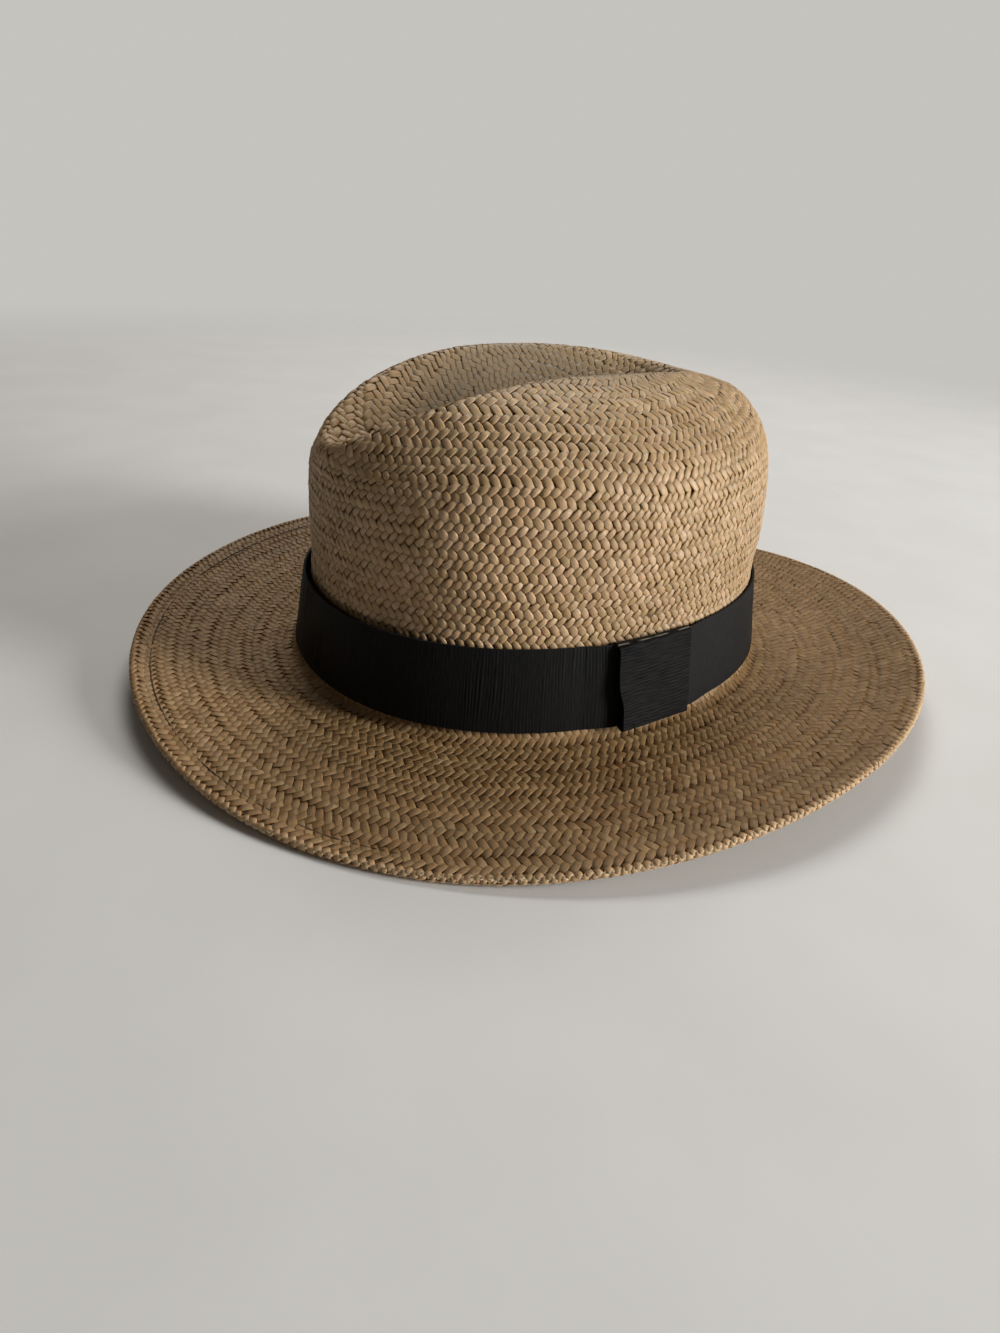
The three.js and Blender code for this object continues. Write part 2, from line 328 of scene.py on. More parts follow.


# Black grosgrain, woven with a thick filling: soft black ribs with a low sheen, and a painted highlight on
# the folds
def ribbonMaterial(name, flatSize, colours, specular):
    material, tree = newMaterial(name)
    cloth = addNode(tree, "ShaderNodeUVMap", {"uv_map": "UVMap"})
    lineScale = (flatSize[0] / 0.5, flatSize[1] / 5.0, 1.0)      # uneven lines 0.5 mm wide along the ribs
    alongRibs = addNode(tree, "ShaderNodeMapping", {"Scale": lineScale}, {"Vector": cloth.outputs["UV"]})
    threads = addNode(tree, "ShaderNodeTexNoise", {"Scale": 1.0, "Detail": 3.0},
                      {"Vector": alongRibs.outputs["Vector"]})
    paintedHighlight = addNode(tree, "ShaderNodeAttribute", {"attribute_name": "foldPaintedHighlight"})
    blacks = addNode(tree, "ShaderNodeValToRGB", links={"Fac": threads.outputs["Fac"]})
    setRamp(blacks, ((0.35, colours[0]), (0.65, colours[1])))
    # Painted highlight: pale colour mixed in on the keeper's upper fold
    highlighted = addNode(tree, "ShaderNodeMix", {"data_type": "RGBA", 7: linear("#c4bba9")},
                   {0: paintedHighlight.outputs["Fac"], 6: blacks.outputs["Color"]})
    bump = addNode(tree, "ShaderNodeBump", {"Strength": 0.6, "Distance": 0.0002},
                   {"Height": threads.outputs["Fac"]})
    shader = addNode(tree, "ShaderNodeBsdfPrincipled",
                     {"Roughness": 0.65, "IOR": 1.45, "Specular IOR Level": specular,
                      "Sheen Weight": 0.04, "Sheen Roughness": 0.4},
                     {"Base Color": highlighted.outputs[2], "Normal": bump.outputs["Normal"]})
    addNode(tree, "ShaderNodeOutputMaterial", links={"Surface": shader.outputs["BSDF"]})
    return material


# Pale painted floor: plain and matt, with a trace of roller texture, and no edge that shows far off
def floorMaterial(fadeFrom, fadeTo):
    material, tree = newMaterial("paleFloorPaint")
    place = addNode(tree, "ShaderNodeTexCoord")
    rollerScale = 1 / 0.06                           # roller marks about 60 mm across
    roller = addNode(tree, "ShaderNodeTexNoise", {"Scale": rollerScale, "Detail": 3.0},
                     {"Vector": place.outputs["Object"]})
    paint = addNode(tree, "ShaderNodeValToRGB", links={"Fac": roller.outputs["Fac"]})
    setRamp(paint, ((0.3, "#e6e7e8"), (0.7, "#ebecee")))
    shader = addNode(tree, "ShaderNodeBsdfPrincipled", {"Roughness": 0.75},
                     {"Base Color": paint.outputs["Color"]})
    reach = addNode(tree, "ShaderNodeVectorMath", {"operation": "LENGTH"},
                    {"Vector": place.outputs["Object"]})
    fade = addNode(tree, "ShaderNodeMapRange",
                   {"interpolation_type": "SMOOTHSTEP", "From Min": fadeFrom, "From Max": fadeTo},
                   {"Value": reach.outputs["Value"]})
    clear = addNode(tree, "ShaderNodeBsdfTransparent")
    edge = addNode(tree, "ShaderNodeMixShader",
                   links={0: fade.outputs["Result"], 1: shader.outputs["BSDF"], 2: clear.outputs["BSDF"]})
    addNode(tree, "ShaderNodeOutputMaterial", links={"Surface": edge.outputs["Shader"]})
    return material


def selectOnly(piece):
    bpy.ops.object.select_all(action="DESELECT")
    piece.select_set(True)
    bpy.context.view_layer.objects.active = piece


def dress(piece, node, material):
    piece.data.materials.clear()
    piece.data.materials.append(material)
    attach(piece, "root")
    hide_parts(node)
    return piece


print("surface ready: brim", round(ringWalk(faceOf(stretch(rimStep, hemStep)), 0)[-1]), "mm round its edge")

# Ground: a thin inner layer of the straw's wall, below the strands of both faces
ground = {"sink": 0.5, "merge": 0.00001, "smoothAngle": 40}
strawGround = bpy.data.objects.new("strawGround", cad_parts["straw_body"].data.copy())
bpy.context.collection.objects.link(strawGround)
selectOnly(strawGround)
bpy.ops.object.mode_set(mode="EDIT")
bpy.ops.mesh.select_all(action="SELECT")
bpy.ops.mesh.customdata_custom_splitnormals_clear()
bpy.ops.mesh.remove_doubles(threshold=ground["merge"])
bpy.ops.mesh.normals_make_consistent(inside=False)
bpy.ops.transform.shrink_fatten(value=-ground["sink"] * mm)
bpy.ops.object.mode_set(mode="OBJECT")
bpy.ops.object.shade_smooth_by_angle(angle=math.radians(ground["smoothAngle"]))
dress(strawGround, "straw_body", groundMaterial())
print("ground made")

# Woven strands: a two-over-two-under twill on the bias, so rows of strands that lean one way alternate
# with rows that lean the other way. Each strand is shown where it lies on top. It comes up from a pit under
# its neighbour on the left, stands highest near its right end, and dips under the next row there.
strand = {
    "pitch": 3.3, "pair": 5.8,                   # cell that the sizes are for: along a row, a pair of rows
    "halfLength": 2.75, "halfWidth": 1.23, "fallWidth": 1.1, "halfThickness": 0.4,
    "fallAngle": -50, "riseAngle": 43,           # lean of the two kinds of row
    "fallShare": 0.55,                           # share of a pair of rows that the steeper row takes
    "fallStart": 0.75, "riseStart": 0.25,        # where in its cell each kind of strand lies along the row
    "lie": -0.06, "dip": 0.86,                   # middle's height over the wall's face, and drop of the ends
    "endThickness": 0.35, "reliefPower": 0.7,    # thickness kept where a strand narrows, or is pressed flat
    "lengthSpread": 0.09, "widthSpread": 0.07, "turnSpread": 3.5, "shiftSpread": 0.13, "liftSpread": 0.06,
    "bend": 0.3,                                 # slow wander of whole rows, made of a few waves
    "bendWaves": ((1.0, 7, 31), (0.7, 17, -47), (0.5, 41, 0)),
    "along": (-1.0, -0.5, 0.2, 1.0), "wide": (0.6, 0.95, 1.0, 0.74),
    "fallDrop": (1.0, 0.22, 0.0, 0.6), "riseDrop": (1.0, 0.18, 0.0, 0.64),
    "tucked": (1.0, 0.25, 0.0, 0.15),            # share of each ring that is hidden under neighbours, darkened there as painted shade
    "straws": 400, "fibreShift": 40,             # browns to choose from, and chance shift of the fibres
}
fullSection = ((-0.78, -1.0), (-1.0, 0.2), (-0.6, 0.9), (0.6, 0.9), (1.0, 0.2), (0.78, -1.0))
flatSection = ((-0.85, -1.0), (-1.0, 0.4), (-0.78, 0.92), (0.78, 0.92), (1.0, 0.4), (0.85, -1.0))
plainSection = ((-1.0, -0.6), (-0.6, 0.85), (0.6, 0.85), (1.0, -0.6))


# Rows of a weave over a face, in bands of so many pairs of such a height and relief. The rows of a band
# have one number of strands, so that they interlock, and straws are added or left out between bands to keep
# the pitch.
def weaveRows(face, bands, pitch):
    whole = sum(pairs * tall for pairs, tall, relief in bands)
    rows, share, pair = [], 0.0, 0
    for pairs, tall, relief in bands:
        pairShare = tall / whole
        middle = share + pairs * pairShare / 2
        count = max(5, round(ringWalk(face, middle)[-1] / pitch))
        for number in range(pairs):
            for falling in (True, False):
                inPair = strand["fallShare"] / 2 if falling else (1 + strand["fallShare"]) / 2
                own = share + inPair * pairShare
                rows.append({"share": own, "middle": middle if pairs > 1 else own, "falling": falling,
                             "count": count, "pair": pair, "relief": relief,
                             "tall": pairShare * face["length"]})
            share, pair = share + pairShare, pair + 1
    return rows


# How far straw is paled between two shares of a face, all round or most at one turn: painted reflection
# in the dent, wear and painted highlight on the rim
def wearAndPaintedLightOf(low, high, turn=None, least=0.3, fades=(-0.2, 0.6)):
    def amount(share, angle):
        facing = 1
        if turn is not None:
            facing = least + (1 - least) * smooth(np.cos(angle - math.radians(turn)), *fades)
        return smooth(share, low, high) * facing
    return amount


def addValue(mesh, name, values):
    layer = mesh.attributes.new(name, "FLOAT", "POINT")
    layer.data.foreach_set("value", np.asarray(values).astype(np.float32).ravel())


# One mesh of closed strands from arrays: strands x rings x section points
def weaveStrands(name, face, rows, section, material, side=1, press=None, sizes=strand, paleWearAndLight=None):
    counts = [row["count"] for row in rows]
    known = [[row[key] for row in rows] for key in ("share", "pair", "falling", "tall", "relief")]
    share, pair, falling, tall, relief = (np.repeat(values, counts)[:, None, None].astype(float)
                                          for values in known)
    turns, gaps = [], []                         # even round the band's middle, then square to its rows
    for row in rows:
        walk = ringWalk(face, row["middle"])
        start = sizes["fallStart"] if row["falling"] else sizes["riseStart"]
        even = (np.arange(row["count"]) + start) / row["count"] * walk[-1]
        turns.append(climbTo(face, np.interp(even, walk, fullTurn), row["middle"], row["share"]))
        gaps.append((np.roll(turns[-1], -1) - np.roll(turns[-1], 1)) % (2 * np.pi) / 2)
    turn, gap = (np.concatenate(values)[:, None, None] for values in (turns, gaps))
    index = np.concatenate([np.arange(count) for count in counts])[:, None, None]
    total = len(index)
    chance = picks.normal(size=(6, total, 1, 1)).clip(-2, 2)
    lean = np.radians(np.where(falling > 0, sizes["fallAngle"], sizes["riseAngle"])
                      + sizes["turnSpread"] * chance[0])
    section = np.array(section)
    rings, corners = len(sizes["along"]), len(section)
    formAlong, wide, fallDrop, riseDrop = (np.array(sizes[key])[None, :, None]
                                           for key in ("along", "wide", "fallDrop", "riseDrop"))
    along = sizes["halfLength"] * (1 + sizes["lengthSpread"] * chance[1]) * formAlong
    along = np.broadcast_to(along, (total, rings, corners))
    halfWidth = sizes["halfWidth"] * np.where(falling > 0, sizes["fallWidth"], 1)
    across = halfWidth * (1 + sizes["widthSpread"] * chance[2]) * wide * section[None, None, :, 0]
    height = sizes["lie"] - sizes["dip"] * relief * np.where(falling > 0, fallDrop, riseDrop)
    halfThickness = sizes["halfThickness"] * relief ** sizes["reliefPower"]
    halfThickness = halfThickness * (sizes["endThickness"] + (1 - sizes["endThickness"]) * wide)
    height = height + halfThickness * section[None, None, :, 1] + sizes["liftSpread"] * chance[3]
    right = along * np.cos(lean) - across * np.sin(lean) + sizes["shiftSpread"] * chance[4]
    up = along * np.sin(lean) + across * np.cos(lean) + sizes["shiftSpread"] * chance[5]
    bend = sum(size * np.sin(perTurn * turn + perShare * share)
               for size, perTurn, perShare in sizes["bendWaves"])
    atShare = share + (up * tall / sizes["pair"] + sizes["bend"] * bend) / face["length"]
    atAngle = turn + right / sizes["pitch"] * gap + squareTurn(face, share, turn) * (atShare - share)
    point, normal = faceAt(face, atShare, atAngle)
    if press is not None:
        height = height - press(atShare, atAngle)
    if side < 0:
        height = -hat["wall"] - height
    places = (point + normal * height[..., None]).reshape(-1, 3) * mm

    ring, corner = np.meshgrid(np.arange(rings - 1), np.arange(corners), indexing="ij")
    here, beside = ring * corners + corner, ring * corners + (corner + 1) % corners
    quads = np.stack([here, here + corners, beside + corners, beside], -1).reshape(-1, 4)
    last = (rings - 1) * corners
    for k in range(corners // 2 - 1):
        cap = np.array([k, k + 1, corners - 2 - k, corners - 1 - k])
        quads = np.vstack([quads, cap, last + cap[::-1]])
    if side < 0:
        quads = quads[:, ::-1]
    faces = (quads[None] + (np.arange(total) * rings * corners)[:, None, None]).reshape(-1, 4)

    mesh = bpy.data.meshes.new(name)
    mesh.from_pydata(places, [], faces)
    straws = picks.random(sizes["straws"])       # one brown for each straw, met again in row after row
    follow = (index + np.where(falling > 0, 2, -2) * pair).astype(int).ravel() % sizes["straws"]
    tone = 0.5 * straws[follow] + 0.5 * picks.random(total)
    addValue(mesh, "strawTone", np.repeat(tone, rings * corners))
    addValue(mesh, "tucked", np.tile(np.repeat(sizes["tucked"], corners), total))
    addValue(mesh, "wearAndPaintedLight", paleWearAndLight(atShare, atAngle) if paleWearAndLight else np.zeros(len(places)))
    shift = picks.random((total, 1, 1)) * sizes["fibreShift"]
    flat = np.stack([across + shift, along + shift], -1).reshape(-1, 2)
    mesh.uv_layers.new(name="strand").data.foreach_set("uv", flat[faces.ravel()].astype(np.float32).ravel())
    mesh.shade_smooth()
    piece = bpy.data.objects.new(name, mesh)
    bpy.context.collection.objects.link(piece)
    print(name, total, "strands,", 2 * len(faces), "triangles")
    return dress(piece, "straw_body", material)


# The crown's straw is made lighter than the brim's: painted light, for the crown that stands up into the
# window's light
crownBrowns = ((0.0, "#ac8c66"), (0.35, "#b99c74"), (0.65, "#c3a37f"), (1.0, "#d3b693"))
brimBrowns = ((0.0, "#896741"), (0.35, "#96764f"), (0.65, "#9e7e57"), (1.0, "#ab8c65"))
crownStraw = strawMaterial("crownStrawPaintedLighter", crownBrowns, 0.85, 0.46)
# The brim's pale rim colour: worn straw with a painted highlight
brimStraw = strawMaterial("dyedPalmStraw", brimBrowns, 0.85, 0.5, "#c8a780")
innerStraw = strawMaterial("palmStrawInside", brimBrowns, 0.85, 0.58)

# Crown: one number of straws up the wall, and fewer over the crest, where the blocking has drawn the rows
# apart, and in the dent, which is pressed flat
crownWeave = {
    "wall": ((9, 5.6, 1.0),), "crest": ((2, 6.6, 0.95), (2, 6.6, 0.75), (3, 6.6, 0.44)),
    "dent": ((2, 6.0, 1.0), (2, 6.0, 1.0), (1, 6.0, 0.9), (1, 6.0, 0.8), (1, 6.0, 0.7), (1, 6.0, 0.6)),
    # The crest and dent are greyed from the first of these shares to the second: painted reflection of the
    # pale room
    "pitch": 3.25, "tuckUnderBand": 0.1, "greyedByReflection": (0.56, 0.75),
    "crestStrand": {**strand, "lie": 0.0, "halfWidth": 1.2, "wide": (0.58, 0.96, 1.0, 0.8),
                    "fallDrop": (1.0, 0.2, 0.0, 0.45), "riseDrop": (1.0, 0.15, 0.0, 0.45)},
    "dentStrand": {**strand, "halfThickness": 0.16, "dip": 0.4, "lie": 0.0, "liftSpread": 0.015,
                   "halfWidth": 1.28, "wide": (0.6, 0.98, 1.0, 0.9),
                   "fallDrop": (1.0, 0.2, 0.0, 0.25), "riseDrop": (1.0, 0.2, 0.0, 0.25)},
}
crownFace = faceOf(stretch(bandTopStep - crownWeave["tuckUnderBand"], dentStep))
crownBands = crownWeave["wall"] + crownWeave["crest"] + crownWeave["dent"]
crownStrands = weaveRows(crownFace, crownBands, crownWeave["pitch"])
wallRows = 2 * sum(pairs for pairs, tall, relief in crownWeave["wall"])
crestRows = wallRows + 2 * sum(pairs for pairs, tall, relief in crownWeave["crest"])
weaveStrands("crownWeave", crownFace, crownStrands[:wallRows], fullSection, crownStraw)
weaveStrands("crestWeave", crownFace, crownStrands[wallRows:crestRows], fullSection, crownStraw,
             sizes=crownWeave["crestStrand"], paleWearAndLight=wearAndPaintedLightOf(*crownWeave["greyedByReflection"]))
weaveStrands("dentWeave", crownFace, crownStrands[crestRows:], flatSection, crownStraw,
             sizes=crownWeave["dentStrand"], paleWearAndLight=wearAndPaintedLightOf(*crownWeave["greyedByReflection"]))

# Brim: pressed flatter than the crown, from the middle of its edge to just under the ribbon, with a
# stitched line where the hem ends
brimWeave = {
    "bands": ((3, 6.4, 1.0), (4, 6.4, 1.0), (4, 6.4, 1.0)), "pitch": 3.15, "rimRows": 1, "outerRows": 8,
    "underRibbon": 0.15, "stitchInset": 8.8, "stitchPitch": 3.1,
    "grooveDepth": 0.75, "grooveHalfWidth": 0.8, "grooveAngle": -105, "grooveFades": (0.3, 0.8),
    "rubbedAndLit": (0.06, 0.02, 10),                  # paler rim, worn and with a painted highlight: from this share to this one, most at this many degrees
    "strand": {**strand, "halfWidth": 1.22, "halfThickness": 0.26, "dip": 0.45, "lie": 0.0,
               "liftSpread": 0.02, "wide": (0.5, 0.96, 1.0, 0.88),
               "fallDrop": (1.0, 0.22, 0.0, 0.28), "riseDrop": (1.0, 0.16, 0.0, 0.28)},
    "stitch": {**strand, "pitch": 3.1, "pair": 6.4, "halfLength": 1.45, "halfWidth": 0.24,
               "halfThickness": 0.2, "fallAngle": 0, "lie": -0.2, "dip": 0.1, "lengthSpread": 0.05,
               "turnSpread": 1.5, "shiftSpread": 0.04, "liftSpread": 0.02, "bend": 0.0,
               "fallDrop": (1.0, 0.1, 0.1, 1.0)},
}
brimFace = faceOf(np.concatenate([edgeRound(0, 90), stretch(rimStep, footStep + brimWeave["underRibbon"])]))
stitchShare = brimWeave["stitchInset"] / brimFace["length"]


# The groove is deepest round the front of the hat, where fingers take hold of the brim
def groovePress(share, angle):
    away = (share - stitchShare) * brimFace["length"]
    facing = np.cos(angle - math.radians(brimWeave["grooveAngle"]))
    depth = brimWeave["grooveDepth"] * smooth(facing, *brimWeave["grooveFades"])
    return depth * np.exp(-(away / brimWeave["grooveHalfWidth"]) ** 2)


brimStrands = weaveRows(brimFace, brimWeave["bands"], brimWeave["pitch"])
outerStrands = brimStrands[brimWeave["rimRows"]:brimWeave["outerRows"]]
weaveStrands("brimOuterWeave", brimFace, outerStrands, flatSection, brimStraw,
             press=groovePress, sizes=brimWeave["strand"], paleWearAndLight=wearAndPaintedLightOf(*brimWeave["rubbedAndLit"]))
weaveStrands("brimInnerWeave", brimFace, brimStrands[brimWeave["outerRows"]:], flatSection, brimStraw,
             sizes=brimWeave["strand"])

# Hem stitches: twisted brown thread, matt, that shows as a thin dark line in the groove
stitchCount = round(ringWalk(brimFace, stitchShare)[-1] / brimWeave["stitchPitch"])
stitchRow = {**brimStrands[0], "share": stitchShare, "middle": stitchShare, "count": stitchCount}
hemThread = strawMaterial("brownHemThread", ((0.0, "#503a23"), (1.0, "#604830")), 0.8, 0.7)
weaveStrands("hemStitches", brimFace, [stitchRow], fullSection, hemThread, sizes=brimWeave["stitch"])

# Rim: the straws turn round the edge in two rows of half the height, rubbed paler than the brim and with a
# painted highlight most on the side towards the window
rimWeave = {
    "insets": (0.8, 2.4), "pitch": 2.9,
    "strand": {**brimWeave["strand"], "pitch": 2.9, "halfLength": 1.45, "halfWidth": 0.98,
               "halfThickness": 0.34, "dip": 0.5},
}
rimShares = [inset / brimFace["length"] for inset in rimWeave["insets"]]
rimCount = round(ringWalk(brimFace, rimShares[0])[-1] / rimWeave["pitch"])
rimStrands = [{**brimStrands[0], "share": share, "middle": rimShares[0], "count": rimCount,
               "falling": number == 1} for number, share in enumerate(rimShares)]
weaveStrands("rimWeave", brimFace, rimStrands, flatSection, brimStraw, sizes=rimWeave["strand"],
             paleWearAndLight=wearAndPaintedLightOf(*brimWeave["rubbedAndLit"]))

# Hem: the brim's rows go on round the edge and back underneath, flat where the hat rests on them
hemWeave = {
    # The hem is paler towards its edge, worn and with a painted highlight
    "shares": (0.11, 0.48, 0.84), "rubbedAndLit": (0.45, 0.85, 10), "strand": {**brimWeave["strand"], "lie": -0.25},
}
hemFace = faceOf(np.concatenate([hemUnder, edgeRound(-90, 0)]))
hemStrands = [{**brimStrands[0], "share": share, "middle": hemWeave["shares"][1], "falling": number == 1}
              for number, share in enumerate(hemWeave["shares"])]
weaveStrands("hemWeave", hemFace, hemStrands, flatSection, brimStraw, sizes=hemWeave["strand"],
             paleWearAndLight=wearAndPaintedLightOf(*hemWeave["rubbedAndLit"]))

# Inside of the crown and underside of the brim: the same weave's other face
insideWeave = {
    "crownBands": ((17, 5.8, 0.8), (5, 6.2, 0.6), (3, 6.0, 0.6), (3, 6.0, 0.6), (3, 6.0, 0.6)),
    "crownRows": 34, "brimBands": ((4, 6.4, 0.6), (5, 6.4, 0.6)), "pitch": 3.4,
    "overlap": 0.2, "pastHem": 0.1,              # steps of the profile
    "strand": {**strand, "along": (-1.0, 0.0, 1.0), "wide": (0.6, 1.0, 0.76),     # fewer rings than outside
               "fallDrop": (1.0, 0.0, 0.6), "riseDrop": (1.0, 0.0, 0.64), "tucked": (1.0, 0.1, 0.15)},
}
innerFace = faceOf(stretch(rootStep + insideWeave["overlap"], dentStep))
innerStrands = weaveRows(innerFace, insideWeave["crownBands"], insideWeave["pitch"])
underFace = faceOf(stretch(hemStep + insideWeave["pastHem"], rootStep + insideWeave["overlap"]))
underStrands = weaveRows(underFace, insideWeave["brimBands"], insideWeave["pitch"])
for name, face, rows in (("crownInnerWeave", innerFace, innerStrands[:insideWeave["crownRows"]]),
                         ("tipInnerWeave", innerFace, innerStrands[insideWeave["crownRows"]:]),
                         ("brimUnderWeave", underFace, underStrands)):
    weaveStrands(name, face, rows, plainSection, innerStraw, side=-1, sizes=insideWeave["strand"])

# Hat band: a flat strip of grosgrain, ribs across it, pulled round the crown's foot
band = {
    "bottomZ": 11.6, "topZ": 41.3, "thickness": 0.8, "gap": 0.3, "stand": 0.7, "frontSlack": 1.6,
    "layer": 1.0,                                # room for one layer of ribbon with its ribs
    "ribSpacing": 1.15, "ribHeight": 0.1, "ribSpread": 0.4, "ribPower": 0.8,
    "stepsPerRib": 4, "stepsUp": 8, "smoothAngle": 50,
    "patchLevel": 0.65, "patchLimits": (0.1, 1.4),                  # ribs stand out more in some places
    "patchWaves": ((0.5, 6.1, 11.0, 0.3), (0.45, -9.7, 4.3, 1.9), (0.35, 3.3, -7.1, 4.0)),
    "wander": 0.35, "wanderWaves": ((0.5, 2.3, 9.0, 0.4), (0.35, 5.1, -6.0, 2.0), (0.3, 0.9, 14.0, 1.1)),
}
keeper = {
    "angle": -1.5, "halfAngle": 9.6, "blendAngle": 8, "radius": 85, "fold": 0.3, "shownOffset": 3,
    "lowLeft": 0.8, "lowRight": -1.1,            # degrees that the low corners move by
    "lowLeftFades": (0.45, 0.75), "edgeRipple": 0.05, "rippleSize": 2.7,
    "proud": 3.2, "proudPower": 2.2, "proudHigh": 0.5, "proudLower": 0.6,    # how its left edge stands off
    "drop": 1.7, "dropFades": (0.4, 1.0),
    "ribHeight": 0.28, "ribTurn": 0.4, "stepsAcross": 32, "stepsPerRib": 6, "patchLevel": 0.6,
    "creaseWaves": ((0.35, 5.2, 9.0, 0.2), (0.3, -3.1, 6.0, 1.4), (0.2, 1.7, 13.0, 2.2)),
    "patchWaves": ((0.5, 4.4, 3.1, 0.9), (0.4, -7.3, 2.2, 2.9)),
    "paintedHighlight": 0.6, "highlightHalfWidth": 0.15, "highlightPlace": 0.62,          # a broken pale line on the upper fold, painted highlight
    "dashLimits": (-0.8, 0.5), "dashWaves": ((1.0, 1.9, 4.0, 0.5), (0.7, -1.1, 2.3, 2.0)),
}
keeperBack = band["gap"] + band["layer"]                  # outer face of the keeper's hidden layer
bandInner = keeperBack + band["gap"]
keeperFront = bandInner + band["layer"] + band["gap"]     # inner face of the keeper's shown layer
keeperMiddle, keeperHalf = math.radians(keeper["angle"]), math.radians(keeper["halfAngle"])


# Points at an offset from the crown's foot, between the band's lower and upper edges
def bandPoint(angle, offset, z):
    edges = []
    for section, edgeZ in ((crown[1], band["bottomZ"]), (crown[2], band["topZ"])):
        level = {**section, "sideZ": edgeZ, "frontZ": edgeZ, "backZ": edgeZ}
        edges.append(crownPoint(level, angle, offset + band["stand"]))
    share = ((z - band["bottomZ"]) / (band["topZ"] - band["bottomZ"]))[..., None]
    return edges[0] + (edges[1] - edges[0]) * share


# How far the band is pushed out by the keeper's hidden layer
def underKeeper(angle):
    away = np.abs((angle - keeperMiddle + np.pi) % (2 * np.pi) - np.pi)
    return 1 - smooth(away, keeperHalf, keeperHalf + math.radians(keeper["blendAngle"]))


# Slow bends along the ribs, each made of a few waves
def wander(across, along, waves):
    bends = np.zeros_like(across)
    for size, wavesAcross, wavesAlong, phase in waves:
        bends += size * np.sin(across / wavesAcross + along / wavesAlong + phase)
    return bends


# A flat strip, with each point's share of its length and width
def addStrip(name, stepsLong, stepsWide):
    bpy.ops.object.select_all(action="DESELECT")
    bpy.ops.mesh.primitive_grid_add(x_subdivisions=stepsLong, y_subdivisions=stepsWide, size=1)
    strip = bpy.context.active_object
    strip.name = strip.data.name = name
    place = np.empty(3 * len(strip.data.vertices), np.float32)
    strip.data.vertices.foreach_get("co", place)
    place = place.reshape(-1, 3).astype(float)
    return strip, place[:, 0] + 0.5, place[:, 1] + 0.5


def wrapStrip(strip, places, paintedHighlight):
    strip.data.vertices.foreach_set("co", (places * mm).astype(np.float32).ravel())
    addValue(strip.data, "foldPaintedHighlight", paintedHighlight)
    selectOnly(strip)
    solidify = strip.modifiers.new("cloth", "SOLIDIFY")
    solidify.thickness, solidify.offset = band["thickness"] * mm, -1
    bpy.ops.object.modifier_apply(modifier=solidify.name)
    bpy.ops.object.shade_smooth_by_angle(angle=math.radians(band["smoothAngle"]))


middleZ = np.full(len(angles), (band["bottomZ"] + band["topZ"]) / 2)
girth = bandPoint(angles, band["gap"] + band["layer"], middleZ)
bandLength = np.linalg.norm(np.roll(girth, -1, 0) - girth, axis=1).sum()
bandWidth = band["topZ"] - band["bottomZ"]
ribs = round(bandLength / band["ribSpacing"])
hatBand, alongBand, upBand = addStrip("hatBand", ribs * band["stepsPerRib"], band["stepsUp"])
ribPlace = alongBand * ribs
ribJitter = picks.normal(size=ribs + 2).clip(-1.5, 1.5)
ribNumber = np.minimum(ribPlace.astype(int), ribs)
ribPatches = band["patchLevel"] + wander(ribPlace, upBand * bandWidth, band["patchWaves"])
ribRise = band["ribHeight"] * (1 + band["ribSpread"] * ribJitter[ribNumber])
ribRise = ribRise * np.clip(ribPatches, *band["patchLimits"])
ribShape = np.abs(np.sin(np.pi * ribPlace)) ** band["ribPower"]
sideways = band["wander"] * wander(ribPlace, upBand * bandWidth, band["wanderWaves"])
bandAngle = keeperMiddle + alongBand * 2 * np.pi + sideways / (bandLength / (2 * np.pi))
toFront = np.maximum(0, -np.sin(bandAngle)) ** hat["heightPower"]
bandOffset = band["gap"] + (bandInner - band["gap"]) * underKeeper(bandAngle) + band["thickness"]
bandOffset = bandOffset + band["frontSlack"] * toFront * upBand + ribRise * ribShape
bandZ = band["bottomZ"] + upBand * bandWidth
wrapStrip(hatBand, bandPoint(bandAngle, bandOffset, bandZ), np.zeros(len(bandZ)))
dress(hatBand, "hat_band",
      ribbonMaterial("blackGrosgrain", (bandLength, bandWidth), ("#09090a", "#131314"), 0.18))
print("hatBand", ribs, "ribs round", round(bandLength), "mm")

# Keeper: a short length of the same ribbon turned to lie across the band and folded right round it
frontZ = (band["bottomZ"] - band["gap"] - keeper["fold"], band["topZ"] + band["gap"] + keeper["fold"])
foldReach = (keeperFront + band["thickness"] - band["gap"]) / 2
keeperHeight = frontZ[1] - frontZ[0]
keeperLength = 2 * (keeperHeight - 2 * foldReach) + 2 * math.pi * foldReach
keeperRibs = round(keeperLength / band["ribSpacing"])
bandKeeper, alongKeeper, acrossKeeper = addStrip("bandKeeper", keeperRibs * keeper["stepsPerRib"],
                                                 keeper["stepsAcross"])
walk = alongKeeper * keeperLength
straight = keeperHeight - 2 * foldReach
topTurn = np.clip((walk - straight) / foldReach, 0, math.pi)
bottomTurn = np.clip((walk - 2 * straight - math.pi * foldReach) / foldReach, 0, math.pi)
upBack = np.clip(walk, 0, straight)
downFront = np.clip(walk - straight - math.pi * foldReach, 0, straight)
keeperZ = frontZ[0] + foldReach + upBack - downFront + foldReach * (np.sin(topTurn) - np.sin(bottomTurn))
towardsFront = (np.cos(bottomTurn) - np.cos(topTurn)) / 2
low = 1 - (keeperZ - frontZ[0]) / keeperHeight
fromRight = 1 - acrossKeeper
edgeTurn = keeper["lowLeft"] * smooth(low, *keeper["lowLeftFades"]) * fromRight
edgeTurn = edgeTurn + keeper["lowRight"] * low * acrossKeeper
edgeTurn = edgeTurn + keeper["edgeRipple"] * fromRight * np.sin(keeperZ / keeper["rippleSize"])
keeperAngle = keeperMiddle + keeperHalf * (2 * acrossKeeper - 1) + np.radians(edgeTurn)
acrossMm = acrossKeeper * 2 * keeperHalf * keeper["radius"]
creases = wander(acrossMm, keeperZ, keeper["creaseWaves"])
